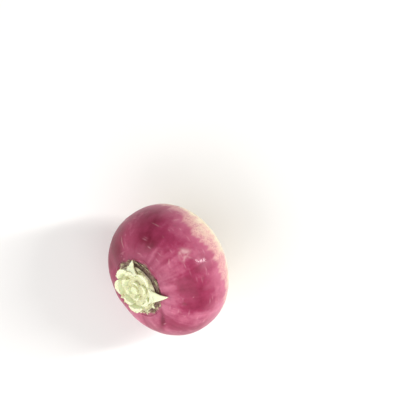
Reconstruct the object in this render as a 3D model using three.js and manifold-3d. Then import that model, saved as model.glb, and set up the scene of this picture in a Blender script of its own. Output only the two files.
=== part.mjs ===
// A purple-top turnip, topped and tailed, lying on its flank with the cut crown turned up and to one side.
// It is two pieces: the swollen root with its trimmed tail, and the leaf-stalk stubs left on its crown.
// Units are millimetres and +Z is up. The origin is on the flat spot that it rests on, under its weight.
// Each piece is shaped in the root's own frame, with +Z out of the crown and +X on the side that faces down,
// and one group then tips that frame over and sets it on the surface.
import * as THREE from "three";
import { mergeVertices } from "three/addons/utils/BufferGeometryUtils.js";
import Module from "manifold-3d";

const wasm = await Module();
wasm.setup();

// How the root lies
const crownTilt = THREE.MathUtils.degToRad(50); // from straight up to the crown
const crownHeading = THREE.MathUtils.degToRad(210.4); // the side that the crown leans to, from +X
const centreHeight = 29.55; // from the surface up to the middle of the root's widest section
const centreX = -1.0;
const centreY = -0.58;
const footBlend = 0.35; // rounding between the flat spot and the flank

// The root's body, a flattened globe: blunt towards the crown and rounder towards the tail
const girthRadius = 32.8;
const crownSideHeight = 22.3; // from the widest section up to the crown
const tailSideHeight = 24.5; // and down to where the tail starts
const crownSideFullness = 2.28;
const tailSideFullness = 2.2;
const ovalShare = 0.014; // how far the widest section is from round
const ovalTurn = 1.73;
const threeSidedShare = 0.013;
const threeSidedTurn = -0.94;
const sideways = 8; // how far the underside has grown over to one side
const sidewaysReach = 30; // below the middle, where it has moved that far

// The ring of old leaf scars that circles the crown
const seatRadius = 9.6;
const seatHeight = 20.4;
const grooveRadius = 13.2;
const grooveWidth = 2.3;
const grooveDepth = 1.25;
const scarCount = 13;
const scarSpacing = 0.34; // outwards from one scar to the next
const scarInnerRadius = 11.9;
const scarRise = 0.5;
const scarWidth = 0.42;
const scarReach = 0.75; // half the turn that one scar spans
const scarBend = 0.9; // how far its ends curl in to the stem
const leafTurn = THREE.MathUtils.degToRad(137.5); // from each leaf to the next one up the stem
const foldCount = 9; // soft folds where the shoulder is drawn in to the crown
const foldRise = 0.28;
const foldRadius = 19;
const foldWidth = 4.5;
const foldUnevenness = 0.8;
const collarRings = [10.3, 10.9, 11.5, 12.1, 12.7, 13.3, 13.9, 14.5, 15.1, 15.8, 16.6, 17.6, 18.8, 20.2];

// The tail, trimmed short, with a crease down each side of the root that the fine roots grow from
const neckRadius = 9;
const tailTopRadius = 2.9;
const tailTopHeight = -27.2;
const tailEndRadius = 2.05;
const tailEndHeight = -30;
const tailBend = 1.1; // sideways, at the cut end
const tailEndRounding = 0.4;
const creaseDepth = 0.7;
const creaseWidth = 2.4;
const creaseTurn = 1.1;
const creaseStart = 12; // below the widest section
const creaseFull = 23;

// The trimmed leaf stalks, oldest first, in three tiers inwards
const clearance = 0.3; // between the two pieces
const cutHeight = 24.3;
const cutTilt = new THREE.Vector2(0.05, -0.035); // the knife's slope, rising along X and Y
const budRadius = 2.1;
const collarRadius = 12; // the low plate of crown tissue that the stalks stand on
const collarUnderside = 21.6;
const collarTop = 22.5;
const stalkFoot = 21.85; // where they grow out of the collar
const stalkFlare = 0.3; // outwards for each millimetre up
const firstTurn = 2.428;
const tiers = [
  { count: 5, radius: 9.2, width: 8.2, thickness: 3.1 },
  { count: 3, radius: 7.5, width: 6, thickness: 2.6 },
  { count: 2, radius: 5.4, width: 5, thickness: 2.2 },
  { count: 3, radius: 3.3, width: 3.4, thickness: 1.5 },
]; // radius is to the hollow side of the stalk, at its foot
const flaps = [
  { leaf: 0, tipRadius: 18.7, width: 6.4, thickness: 1.7 },
  { leaf: 6, tipRadius: 14.7, width: 3.8, thickness: 1.8 },
]; // two leaf bases whose outer skin is split and bent down over the shoulder

// Facets
const segments = 72;
const bodyRings = 28;
const neckRings = 7;

const gauss = (x) => Math.exp(-x * x);
const turnApart = (a, b) => Math.atan2(Math.sin(a - b), Math.cos(a - b));

// Height of the plain body above its widest section, at a distance from the axis on the crown's side
function shoulderHeight(radius) {
  const share = Math.pow(radius / girthRadius, crownSideFullness);
  return crownSideHeight * Math.pow(1 - share, 1 / crownSideFullness);
}

// A point on the plain body's outline, at an angle from the crown: x is the distance from the axis
function bodyOutline(angle) {
  const upper = Math.cos(angle) > 0;
  const fullness = upper ? crownSideFullness : tailSideFullness;
  const height = upper ? crownSideHeight : tailSideHeight;
  const across = Math.pow(Math.sin(angle) / girthRadius, fullness);
  const along = Math.pow(Math.abs(Math.cos(angle)) / height, fullness);
  const reach = Math.pow(across + along, -1 / fullness);
  return new THREE.Vector2(reach * Math.sin(angle), reach * Math.cos(angle));
}

// Corky crescents left by fallen leaves, one behind the other round the groove
function scarRelief(radius, turn) {
  let rise = 0;
  for (let leaf = 0; leaf < scarCount; leaf++) {
    const away = turnApart(turn, leaf * leafTurn);
    const crescent = scarInnerRadius + leaf * scarSpacing - scarBend * away * away;
    rise += scarRise * gauss((radius - crescent) / scarWidth) * gauss(away / scarReach);
  }
  return rise;
}

// What the crown adds to the plain body: the groove, its scars and the folds outside it
function crownRelief(radius, turn) {
  const groove = -grooveDepth * gauss((radius - grooveRadius) / grooveWidth);
  const folds = foldRise * Math.cos(foldCount * turn + foldUnevenness * Math.sin(2 * turn));
  return groove + scarRelief(radius, turn) + folds * gauss((radius - foldRadius) / foldWidth);
}

// The outline from the centre of the crown to the end of the tail, as [distance from axis, height] for a turn
function meridian() {
  const rings = [];
  rings.push(() => [seatRadius / 2, seatHeight]);
  rings.push(() => [seatRadius, seatHeight]);
  for (const radius of collarRings)
    rings.push((turn) => [radius, shoulderHeight(radius) + crownRelief(radius, turn)]);

  const shoulderEnd = collarRings[collarRings.length - 1];
  const firstAngle = Math.atan2(shoulderEnd, shoulderHeight(shoulderEnd));
  const neckShare = Math.pow(neckRadius / girthRadius, tailSideFullness);
  const neckHeight = -tailSideHeight * Math.pow(1 - neckShare, 1 / tailSideFullness);
  const lastAngle = Math.atan2(neckRadius, neckHeight);
  for (let i = 1; i <= bodyRings; i++) {
    const angle = THREE.MathUtils.lerp(firstAngle, lastAngle, i / bodyRings);
    const at = bodyOutline(angle);
    rings.push((turn) => {
      const relief = at.y > 0 ? crownRelief(at.x, turn) : 0;
      return [at.x, at.y + relief];
    });
  }

  const neck = new THREE.CubicBezierCurve(
    new THREE.Vector2(neckRadius, neckHeight),
    new THREE.Vector2(0.6 * neckRadius, neckHeight - 0.75),
    new THREE.Vector2(1.24 * tailTopRadius, tailTopHeight + 1.9),
    new THREE.Vector2(tailTopRadius, tailTopHeight)
  );
  for (let i = 1; i <= neckRings; i++) {
    const at = neck.getPoint(i / neckRings);
    rings.push(() => [at.x, at.y]);
  }
  rings.push(() => [(tailTopRadius + tailEndRadius) / 2, (tailTopHeight + tailEndHeight) / 2]);
  rings.push(() => [tailEndRadius, tailEndHeight + tailEndRounding]);
  rings.push(() => [tailEndRadius - tailEndRounding, tailEndHeight]);
  return rings;
}

// Turns an outline point into a point of the grown root: lobed, creased, leaning and pressed flat underneath
function grown(radius, height, turn) {
  const girth = Math.min(1, radius / girthRadius);
  const oval = ovalShare * Math.cos(2 * turn - ovalTurn);
  const threeSided = threeSidedShare * Math.cos(3 * turn - threeSidedTurn);
  let out = radius * (1 + girth * (oval + threeSided));
  const low = THREE.MathUtils.smoothstep(-height, creaseStart, creaseFull);
  const body = THREE.MathUtils.smoothstep(radius, tailTopRadius, neckRadius); // the creases stop at the tail
  for (const side of [creaseTurn, creaseTurn + Math.PI]) {
    const arc = out * turnApart(turn, side);
    out -= creaseDepth * low * body * gauss(arc / creaseWidth);
  }
  const bend = tailBend * THREE.MathUtils.smoothstep(-height, creaseFull, -tailEndHeight);
  return pressed(leaning(new THREE.Vector3(out * Math.cos(turn), out * Math.sin(turn) + bend, height)));
}

const up = new THREE.Vector3(-Math.sin(crownTilt), 0, Math.cos(crownTilt)); // in the root's own frame
const over = new THREE.Vector3(Math.cos(crownTilt), 0, Math.sin(crownTilt)); // level, to the crown's side

function leaning(point) {
  const below = Math.max(0, -point.dot(up)) / sidewaysReach;
  return point.addScaledVector(over, -sideways * below * below);
}

// Below the surface the root is pressed flat, with a soft edge
function pressed(point) {
  const height = point.dot(up) + centreHeight;
  let wanted = Math.max(height, 0);
  if (Math.abs(height) < footBlend) wanted = Math.pow(height + footBlend, 2) / (4 * footBlend);
  return point.addScaledVector(up, wanted - height);
}

// A closed surface through rings of points that run clockwise seen from ahead, with a point at each end
function loft(first, rings, last) {
  const count = rings[0].length;
  const positions = [first, ...rings.flat(), last].flatMap((p) => [p.x, p.y, p.z]);
  const end = rings.length * count + 1;
  const index = [];
  for (let j = 0; j < count; j++) {
    const k = (j + 1) % count;
    index.push(0, 1 + j, 1 + k);
    for (let i = 0; i < rings.length - 1; i++) {
      const a = 1 + i * count + j;
      const b = 1 + i * count + k;
      index.push(a, a + count, b + count, a, b + count, b);
    }
    index.push(end, end - count + k, end - count + j);
  }
  const geometry = new THREE.BufferGeometry();
  geometry.setAttribute("position", new THREE.Float32BufferAttribute(positions, 3));
  geometry.setIndex(index);
  return geometry;
}

function rootGeometry() {
  const rings = meridian().map((ringAt) => {
    const ring = [];
    for (let j = 0; j < segments; j++) {
      const turn = (j / segments) * 2 * Math.PI;
      const [radius, height] = ringAt(turn);
      ring.push(grown(radius, height, turn));
    }
    return ring;
  });
  const top = new THREE.Vector3(0, 0, seatHeight);
  const bottom = leaning(new THREE.Vector3(0, tailBend, tailEndHeight));
  return loft(top, rings, bottom);
}

function solid(geometry) {
  const bare = new THREE.BufferGeometry();
  bare.setAttribute("position", geometry.getAttribute("position").clone());
  bare.setIndex(geometry.getIndex());
  const merged = mergeVertices(bare, 1e-4);
  return new wasm.Manifold(
    new wasm.Mesh({
      numProp: 3,
      vertProperties: new Float32Array(merged.getAttribute("position").array),
      triVerts: new Uint32Array(merged.getIndex().array),
    })
  );
}

function geometryOf(made) {
  const mesh = made.getMesh();
  const geometry = new THREE.BufferGeometry();
  geometry.setAttribute("position", new THREE.BufferAttribute(new Float32Array(mesh.vertProperties), 3));
  geometry.setIndex(new THREE.BufferAttribute(new Uint32Array(mesh.triVerts), 1));
  geometry.computeVertexNormals();
  return geometry;
}

// Every leaf of the head in the order it grew, each a golden turn on from the last
function leaves() {
  const all = [];
  for (const { count, ...size } of tiers)
    for (let i = 0; i < count; i++) all.push({ ...size, turn: firstTurn + all.length * leafTurn });
  return all;
}

// One leaf stalk's base: a crescent in section, hollow side towards the stem, leaning outwards as it rises
function stalk({ turn, radius, width, thickness }) {
  const half = width / 2;
  const shape = new THREE.Shape();
  shape.moveTo(-0.25 * thickness, -half);
  shape.quadraticCurveTo(0.95 * thickness, -0.75 * half, 0.75 * thickness, 0);
  shape.quadraticCurveTo(0.95 * thickness, 0.75 * half, -0.25 * thickness, half);
  shape.quadraticCurveTo(0.1 * thickness, 0.35 * half, 0, 0);
  shape.quadraticCurveTo(0.1 * thickness, -0.35 * half, -0.25 * thickness, -half);
  const depth = cutHeight + 2 - stalkFoot;
  const geometry = new THREE.ExtrudeGeometry(shape, { depth, bevelEnabled: false, curveSegments: 4 });
  geometry.applyMatrix4(new THREE.Matrix4().makeShear(0, 0, 0, 0, stalkFlare, 0));
  geometry.translate(radius, 0, stalkFoot);
  geometry.rotateZ(turn);
  return solid(geometry);
}

// How low a leaf base may lie over the shoulder: it bridges most of the groove and clears the scars and folds
function flapUnderside(radius) {
  const sag = 0.35 * grooveDepth * gauss((radius - grooveRadius) / grooveWidth);
  const lying = shoulderHeight(radius) - sag + scarRise + clearance;
  return radius < collarRadius ? Math.max(lying, (collarUnderside + collarTop) / 2) : lying;
}

// A split leaf base: a tongue out of its stalk that tapers to a point and follows the shoulder down
function flap({ tipRadius, width, thickness }, leaf) {
  const start = leaf.radius + 0.45 * leaf.thickness;
  const stations = 8;
  const rings = [];
  for (let i = 0; i < stations; i++) {
    const share = i / stations;
    const radius = THREE.MathUtils.lerp(start, tipRadius, share);
    const half = (width / 2) * Math.pow(1 - share, 0.7);
    const under = flapUnderside(radius);
    const thick = thickness * (1 - 0.55 * share);
    rings.push([
      new THREE.Vector3(radius, 0.8 * half, under),
      new THREE.Vector3(radius, -0.8 * half, under),
      new THREE.Vector3(radius, -half, under + 0.5 * thick),
      new THREE.Vector3(radius, -0.5 * half, under + thick),
      new THREE.Vector3(radius, 0.5 * half, under + thick),
      new THREE.Vector3(radius, half, under + 0.5 * thick),
    ]);
  }
  const tip = new THREE.Vector3(tipRadius, 0, flapUnderside(tipRadius) + 0.25 * thickness);
  const inside = new THREE.Vector3(start - 0.3, 0, flapUnderside(start) + 0.5 * thickness);
  return solid(loft(inside, rings, tip).rotateZ(leaf.turn));
}

function stubGeometry() {
  const outline = [
    [0, seatHeight + clearance],
    [seatRadius - clearance, seatHeight + clearance],
    [seatRadius + clearance, collarUnderside],
    [collarRadius, collarUnderside - 0.2],
    [collarRadius, collarUnderside + 0.3],
    [collarRadius - 1.5, collarTop],
    [budRadius + 0.2, collarTop],
    [budRadius, cutHeight + 1],
    [0, cutHeight + 1],
  ].map(([x, y]) => new THREE.Vector2(x, y));
  let head = solid(new THREE.LatheGeometry(outline, 40).rotateX(Math.PI / 2));
  const leafList = leaves();
  for (const leaf of leafList) head = head.add(stalk(leaf));
  for (const one of flaps) head = head.add(flap(one, leafList[one.leaf]));

  const knife = new THREE.BoxGeometry(80, 80, 30);
  knife.translate(0, 0, 15);
  knife.rotateX(cutTilt.y);
  knife.rotateY(-cutTilt.x);
  knife.translate(0, 0, cutHeight);
  return geometryOf(head.subtract(solid(knife)));
}

const root = new THREE.Mesh(
  rootGeometry(),
  new THREE.MeshStandardMaterial({ name: "purple_skin", color: 0xa8486e, roughness: 0.42, metalness: 0 })
);
root.name = "turnip_root";
root.geometry.computeVertexNormals();

const stubs = new THREE.Mesh(
  stubGeometry(),
  new THREE.MeshStandardMaterial({ name: "cut_stalk", color: 0xe2e3c4, roughness: 0.6, metalness: 0 })
);
stubs.name = "leaf_stalk_stubs";

const turnip = new THREE.Group();
turnip.rotation.set(0, crownTilt, crownHeading, "ZYX");
turnip.position.set(centreX, centreY, centreHeight);
turnip.add(root, stubs);

const part = new THREE.Group();
part.add(turnip);

export default part;
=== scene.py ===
# A purple-top turnip, topped and tailed, lying on its flank and seen from straight above.
import functools
import math

import bpy
import numpy as np
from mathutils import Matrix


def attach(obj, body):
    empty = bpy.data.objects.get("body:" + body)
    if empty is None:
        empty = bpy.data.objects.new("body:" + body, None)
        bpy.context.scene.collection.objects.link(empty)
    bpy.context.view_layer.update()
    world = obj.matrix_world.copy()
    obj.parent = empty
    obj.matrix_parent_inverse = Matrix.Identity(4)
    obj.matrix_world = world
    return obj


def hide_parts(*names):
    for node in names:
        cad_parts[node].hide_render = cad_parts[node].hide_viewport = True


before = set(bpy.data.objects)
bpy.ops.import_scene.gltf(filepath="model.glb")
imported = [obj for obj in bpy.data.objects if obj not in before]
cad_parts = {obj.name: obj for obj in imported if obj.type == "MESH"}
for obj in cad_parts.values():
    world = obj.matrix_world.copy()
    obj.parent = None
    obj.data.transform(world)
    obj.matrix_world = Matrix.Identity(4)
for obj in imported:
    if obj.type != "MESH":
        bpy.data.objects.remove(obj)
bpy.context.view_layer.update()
mm = 0.001  # lengths below are millimetres until a mesh is made
print("frame loaded")


# Small tools

def smoothStep(x, low, high):
    t = np.clip((x - low) / (high - low), 0, 1)
    return t * t * (3 - 2 * t)


def bell(x):
    return np.exp(-np.square(x))


def turnApart(a, b):
    return np.arctan2(np.sin(a - b), np.cos(a - b))


def smoothNoise(points, size, seed):
    # Random values from -1 to 1 on the corners of cubes of the given size, blended across each cube
    # by the fifth-order fade 6t^5 - 15t^4 + 10t^3
    side = 32  # cubes before the pattern repeats
    shift = 0.37  # keeps round coordinates off the corners
    table = np.random.default_rng(seed).uniform(-1, 1, (side, side, side))
    at = np.asarray(points) / size + shift
    cell = np.floor(at).astype(int)
    part = at - cell
    fade = part ** 3 * (part * (part * 6 - 15) + 10)
    total = np.zeros(at.shape[:-1])
    for corner in np.ndindex(2, 2, 2):
        share = np.prod(np.where(corner, fade, 1 - fade), axis=-1)
        index = (cell + corner) % side
        total += share * table[index[..., 0], index[..., 1], index[..., 2]]
    return total


def layeredNoise(points, size, seed, layers=3):
    # Smooth noise with finer and weaker layers on it, each half the size and half the height of the last,
    # brought back to about -1 to 1
    return sum(smoothNoise(points, size / 2 ** i, seed + 100 * i) / 2 ** i for i in range(layers)) / 1.5


def stacked(*parts):
    # Points from their coordinates, each spread over the whole grid
    return np.stack(np.broadcast_arrays(*parts), axis=-1)


def fullTurn(columns):
    # Angles of a grid's columns, once round
    return np.linspace(0, 2 * math.pi, columns, endpoint=False)[None, :]


def gridFaces(rows, columns):
    # Quads of a grid whose columns join up round, row 0 first, wound to face out when rows run downwards
    row, column = np.meshgrid(np.arange(rows - 1), np.arange(columns), indexing="ij")
    after = (column + 1) % columns
    return np.stack([row * columns + column, (row + 1) * columns + column,
                     (row + 1) * columns + after, row * columns + after], axis=-1).reshape(-1, 4)


def tubeMesh(rings):
    # Points and faces of a closed skin: rings of points (rows, columns, 3) with a fan to a point at each end
    rows, columns = rings.shape[:2]
    points = np.concatenate([rings.reshape(-1, 3), [rings[0].mean(axis=0)], [rings[-1].mean(axis=0)]])
    here = np.arange(columns)
    after = (here + 1) % columns
    bottom = (rows - 1) * columns
    top = np.stack([np.full(columns, rows * columns), here, after], axis=-1)
    end = np.stack([np.full(columns, rows * columns + 1), bottom + after, bottom + here], axis=-1)
    return points, gridFaces(rows, columns), np.concatenate([top, end])


def zippedMesh(rings):
    # The same skin with its first and last rings closed by a strip between their two halves, for a section
    # that is bent
    rows, columns = rings.shape[:2]
    j = np.arange(1, columns // 2 - 1)
    strip = np.stack([j, j + 1, columns - j - 1, columns - j], axis=-1)
    middle = columns // 2
    tips = np.array([[0, 1, columns - 1], [middle - 1, middle, middle + 1]])
    bottom = (rows - 1) * columns
    quads = np.concatenate([gridFaces(rows, columns), strip, bottom + strip[:, ::-1]])
    return rings.reshape(-1, 3), quads, np.concatenate([tips, bottom + tips[:, ::-1]])


def reversedRings(rings, marks):
    # The same grid from its last row to its first, which turns its faces round
    return rings[::-1], {mark: values[::-1] for mark, values in marks.items()}


def joined(parts, closing=tubeMesh):
    # Several closed skins, each (rings, marks), as one list of points, quads, triangles and marks. A mark may
    # be one row or one column, and is spread over its rings
    allPoints, allQuads, allTriangles, allMarks = [], [], [], {}
    start = 0
    for rings, marks in parts:
        points, quads, triangles = closing(rings)
        allPoints.append(points)
        allQuads.append(quads + start)
        allTriangles.append(triangles + start)
        start += len(points)
        for mark, values in marks.items():
            spread = np.broadcast_to(values, rings.shape[:2])
            ends = [spread[0].mean(), spread[-1].mean()] if closing is tubeMesh else []
            allMarks.setdefault(mark, []).append(np.concatenate([np.ravel(spread), ends]))
    allMarks = {mark: np.concatenate(values) for mark, values in allMarks.items()}
    return np.concatenate(allPoints), np.concatenate(allQuads), np.concatenate(allTriangles), allMarks


def makePiece(name, points, quads, triangles, marks):
    # Puts points in millimetres, quads and triangles into one smooth mesh in metres, with a number for each
    # point under every name in marks
    mesh = bpy.data.meshes.new(name)
    corners = np.concatenate([np.ravel(quads), np.ravel(triangles)]).astype(np.int32)
    sizes = np.concatenate([np.full(len(quads), 4), np.full(len(triangles), 3)]).astype(np.int32)
    starts = np.concatenate([[0], np.cumsum(sizes)[:-1]]).astype(np.int32)
    mesh.vertices.add(len(points))
    mesh.vertices.foreach_set("co", np.ravel(np.asarray(points) * mm).astype(np.float32))
    mesh.loops.add(len(corners))
    mesh.loops.foreach_set("vertex_index", corners)
    mesh.polygons.add(len(sizes))
    mesh.polygons.foreach_set("loop_start", starts)
    mesh.polygons.foreach_set("use_smooth", np.full(len(sizes), True))
    for mark, values in marks.items():
        layer = mesh.attributes.new(mark, "FLOAT", "POINT")
        layer.data.foreach_set("value", values.astype(np.float32))
    mesh.update(calc_edges=True)
    mesh.validate()
    piece = bpy.data.objects.new(name, mesh)
    bpy.context.collection.objects.link(piece)
    return piece


# The root's form: the same values and formulas as the solids

root = {
    "tilt": math.radians(50),  # from straight up to the crown
    "heading": math.radians(210.4),  # the side that the crown leans to, from +X
    "centre": (-1.0, -0.58, 29.55),
    "footBlend": 0.35,
    "girth": 32.8,  # from the axis to the widest place
    "crownSideHeight": 22.3,
    "tailSideHeight": 24.5,
    "crownSideFullness": 2.28,  # powers of the superellipse
    "tailSideFullness": 2.2,
    "ovalShare": 0.014,
    "ovalTurn": 1.73,
    "threeSidedShare": 0.013,
    "threeSidedTurn": -0.94,
    "sideways": 8,
    "sidewaysReach": 30,
    "seatStart": 1,
    "seatRadius": 9.6,
    "seatStep": 0.5,
    "seatHeight": 20.4,
    "grooveRadius": 13.2,
    "grooveWidth": 2.3,
    "grooveDepth": 1.25,
    "scarCount": 13,
    "scarSpacing": 0.34,
    "scarInnerRadius": 11.9,
    "scarRise": 0.5,
    "scarWidth": 0.42,
    "scarReach": 0.75,
    "scarBend": 0.9,
    "leafTurn": math.radians(137.5),
    "foldCount": 9,
    "foldRise": 0.28,
    "foldRadius": 19,
    "foldWidth": 4.5,
    "foldUnevenness": 0.8,
    "shoulderEnd": 20.2,
    "neckRadius": 9,
    "neckHandles": ((0.6, 0.75), (1.24, 1.9)),  # share of the end's radius, and height away from the end
    "tailTopRadius": 2.9,
    "tailTopHeight": -27.2,
    "tailEndRadius": 2.05,
    "tailEndHeight": -30,
    "tailBend": 1.1,
    "tailEndRounding": 0.4,
    "tailMiddle": 0.15,
    "creaseDepth": 0.7,
    "creaseWidth": 2.4,
    "creaseTurn": 1.1,
    "creaseStart": 12,
    "creaseFull": 23,
}

upLocal = np.array([-math.sin(root["tilt"]), 0, math.cos(root["tilt"])])
overLocal = np.array([math.cos(root["tilt"]), 0, math.sin(root["tilt"])])


def toPlace(points):
    # Tips the root's own frame over by the tilt, turns it to the heading and sets it on the surface
    c, s = math.cos(root["tilt"]), math.sin(root["tilt"])
    ch, sh = math.cos(root["heading"]), math.sin(root["heading"])
    turned = np.array([[c * ch, -sh, s * ch], [c * sh, ch, s * sh], [-s, 0, c]])
    return np.asarray(points) @ turned.T + np.array(root["centre"])


def shoulderHeight(radius):
    # Height of the plain superellipse on the crown's side at a distance from the axis
    share = (np.asarray(radius) / root["girth"]) ** root["crownSideFullness"]
    return root["crownSideHeight"] * (1 - share) ** (1 / root["crownSideFullness"])


def bodyOutline(angle):
    # Superellipse in polar form: 1 / (|sin/girth|^n + |cos/height|^n)^(1/n), with its own height and n on
    # each side
    upper = np.cos(angle) > 0
    power = np.where(upper, root["crownSideFullness"], root["tailSideFullness"])
    height = np.where(upper, root["crownSideHeight"], root["tailSideHeight"])
    total = (np.sin(angle) / root["girth"]) ** power + (np.abs(np.cos(angle)) / height) ** power
    reach = total ** (-1 / power)
    return reach * np.sin(angle), reach * np.cos(angle)


def crownRelief(radius, turn):
    # A groove round the stalks, crescent scars a golden turn apart in it, and soft folds outside it
    rise = -root["grooveDepth"] * bell((radius - root["grooveRadius"]) / root["grooveWidth"])
    for leaf in range(root["scarCount"]):
        away = turnApart(turn, leaf * root["leafTurn"])
        middle = root["scarInnerRadius"] + leaf * root["scarSpacing"] - root["scarBend"] * away ** 2
        scar = bell((radius - middle) / root["scarWidth"]) * bell(away / root["scarReach"])
        rise = rise + root["scarRise"] * scar
    folds = root["foldRise"] * np.cos(root["foldCount"] * turn + root["foldUnevenness"] * np.sin(2 * turn))
    return rise + folds * bell((radius - root["foldRadius"]) / root["foldWidth"])


def meridian(counts):
    # Distance from the axis and height along the outline, crown first, with a count of rings for each
    # stretch. The neck is a cubic Bezier curve from the body to the tail
    seatR = np.linspace(root["seatStart"], root["seatRadius"], counts["seat"])
    collarR = np.linspace(root["seatRadius"] + root["seatStep"], root["shoulderEnd"], counts["collar"])
    firstAngle = math.atan2(root["shoulderEnd"], float(shoulderHeight(root["shoulderEnd"])))
    neckShare = (root["neckRadius"] / root["girth"]) ** root["tailSideFullness"]
    neckHeight = -root["tailSideHeight"] * (1 - neckShare) ** (1 / root["tailSideFullness"])
    lastAngle = math.atan2(root["neckRadius"], neckHeight)
    bodyR, bodyH = bodyOutline(np.linspace(firstAngle, lastAngle, counts["body"] + 1)[1:])
    t = np.linspace(0, 1, counts["neck"] + 1)[1:]
    weights = [(1 - t) ** 3, 3 * t * (1 - t) ** 2, 3 * t ** 2 * (1 - t), t ** 3]
    (upperShare, upperDrop), (lowerShare, lowerRise) = root["neckHandles"]
    neckR = np.dot([root["neckRadius"], upperShare * root["neckRadius"], lowerShare * root["tailTopRadius"],
                    root["tailTopRadius"]], weights)
    neckH = np.dot([neckHeight, neckHeight - upperDrop, root["tailTopHeight"] + lowerRise,
                    root["tailTopHeight"]], weights)
    t = np.linspace(0, 1, counts["tail"] + 1)[1:]
    tailR = root["tailTopRadius"] + (root["tailEndRadius"] - root["tailTopRadius"]) * t
    tailLength = root["tailTopHeight"] - root["tailEndHeight"] - root["tailEndRounding"]
    tailH = root["tailTopHeight"] - tailLength * t
    t = np.linspace(0, math.pi / 2, counts["rounding"] + 1)[1:]
    roundR = root["tailEndRadius"] - root["tailEndRounding"] * (1 - np.cos(t))
    roundH = root["tailEndHeight"] + root["tailEndRounding"] * (1 - np.sin(t))
    endR = np.linspace(roundR[-1], root["tailMiddle"], counts["end"] + 1)[1:]
    radius = np.concatenate([seatR, collarR, bodyR, neckR, tailR, roundR, endR])
    height = np.concatenate([np.full(counts["seat"], root["seatHeight"]), shoulderHeight(collarR), bodyH,
                             neckH, tailH, roundH, np.full(counts["end"], root["tailEndHeight"])])
    return radius, height


def grown(radius, height, turn):
    # Lobes and creases change the distance from the axis, and the tail's bend moves a point sideways
    girth = np.minimum(1, radius / root["girth"])
    oval = root["ovalShare"] * np.cos(2 * turn - root["ovalTurn"])
    threeSided = root["threeSidedShare"] * np.cos(3 * turn - root["threeSidedTurn"])
    out = radius * (1 + girth * (oval + threeSided))
    low = smoothStep(-height, root["creaseStart"], root["creaseFull"])
    body = smoothStep(radius, root["tailTopRadius"], root["neckRadius"])
    for side in (root["creaseTurn"], root["creaseTurn"] + math.pi):
        out = out - root["creaseDepth"] * low * body * bell(out * turnApart(turn, side) / root["creaseWidth"])
    bend = root["tailBend"] * smoothStep(-height, root["creaseFull"], -root["tailEndHeight"])
    return stacked(out * np.cos(turn), out * np.sin(turn) + bend, height)


def leaning(points):
    # Below the middle a point moves sideways by the square of its depth
    below = np.maximum(0, -(points @ upLocal)) / root["sidewaysReach"]
    return points - root["sideways"] * (below ** 2)[..., None] * overLocal


def pressed(points):
    # The flat spot: heights under the surface become 0, with a soft change over the blend either side
    height = points @ upLocal + root["centre"][2]
    blend = root["footBlend"]
    wanted = np.maximum(height, 0)
    wanted = np.where(np.abs(height) < blend, (height + blend) ** 2 / (4 * blend), wanted)
    return points + (wanted - height)[..., None] * upLocal


# The root's skin

skin = {
    "seed": 4107,
    "columns": 440,
    "rings": {"seat": 3, "collar": 38, "body": 132, "neck": 20, "tail": 9, "rounding": 4, "end": 5},
    "swellings": ((15, 0.2), (6.5, 0.09), (2.6, 0.03)),  # size and height
    "bandRise": 0.07,  # faint rings of growth round the tail side
    "bandStretch": 9,
    "bandSpacing": 0.9,
    "bandStart": (95, 135),  # degrees from the crown over which they come in
    "dashCount": 330,  # the short cross marks where breathing pores were
    "dashSpan": (34, 172),  # degrees from the crown
    "dashCrowding": 0.72,  # under 1 puts more of them on the tail side
    "dashLength": (0.5, 3.4),
    "dashFullGirth": (1, 18),  # they are shorter where the root is thinner than this
    "dashStrength": (0.3, 1),
    "dashSlant": 0.07,
    "dashWidth": 0.26,
    "dashReach": 5,  # rings either side that a dash can touch
    "dashRise": 0.085,
    "scuffs": (  # strokes of a forked graze: degrees from the crown, turn, length, slant, width, strength
        (68.5, -3.018, 6.0, 0.36, 0.8, 0.5),
        (72.3, -3.07, 6.6, 1.15, 0.9, 0.5),
        (73.6, -3.012, 4.6, -0.77, 1.3, 0.66),
    ),
    "looseScuffs": 34,  # and as many single strokes, each value drawn between two
    "looseScuff": ((42, 125), (-math.pi, math.pi), (1.2, 8), (-1.5, 1.5), (0.16, 0.4), (0.12, 0.45)),
    "scuffBow": 0.04,
    "scuffBreaks": 1.1,  # size of the untouched places in a graze
    "scuffEdge": (-0.7, 0.1),  # noise values between which a stroke comes in
    "scuffDepth": 0.07,
    "pitCount": 26,
    "pitRings": (50, 190),  # rows of the grid between which they lie
    "pitSize": (0.5, 1.3),
    "pitStretch": (1, 1.7),
    "pitStrength": (0.3, 1),
    "pitDepth": 0.16,
    "corkEdge": 13.8,  # distance from the axis at which the cork stops, more or less
    "corkWander": ((5, 1.1), (1.8, 0.8)),  # size and reach of the edge's bays
    "corkFade": 0.9,
    "corkRidges": (3, 1 / 1.9),  # length and width
    "corkRise": 0.16,
    "seatFade": 1.2,
    "tailRing": 0.85,  # spacing of the rings seen in the cut end of the tail
    "boundary": 101,  # degrees from the crown to where the purple stops
    "boundaryWander": (9, 7),  # degrees that its patches and its streaks move it
    "creamNotch": (9, -2.68, 0.34),  # where cream reaches further up: degrees, turn and width
    "broadStreaks": (3.2, 0.008),  # how many round the root and how short along it
    "fineStreaks": (13, 0.03),
    "patchSize": 16,
    "paintedLightTurn": 2.1,  # painted light: the side on which the purple is painted palest, as if lit from there, and darkest opposite
    "depthParts": (0.11, 0.14, 0.07, 0.1),  # broad streaks, patches, fine streaks and the painted light and shade on either side
    # Turn at 41 degrees from the crown, its change a degree, those 41, how far on it is darkest, reach, width
    "darkRib": (103.4, -1.97, 41, 5, 9, 0.1),
    "darkRibStrength": 0.3,
    "darkPatches": (  # degrees from the crown, turn, size in mm and strength
        (58.5, -2.44, 4.2, 0.2),
        (61, 2.66, 6.0, 0.16),
    ),
}


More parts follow.
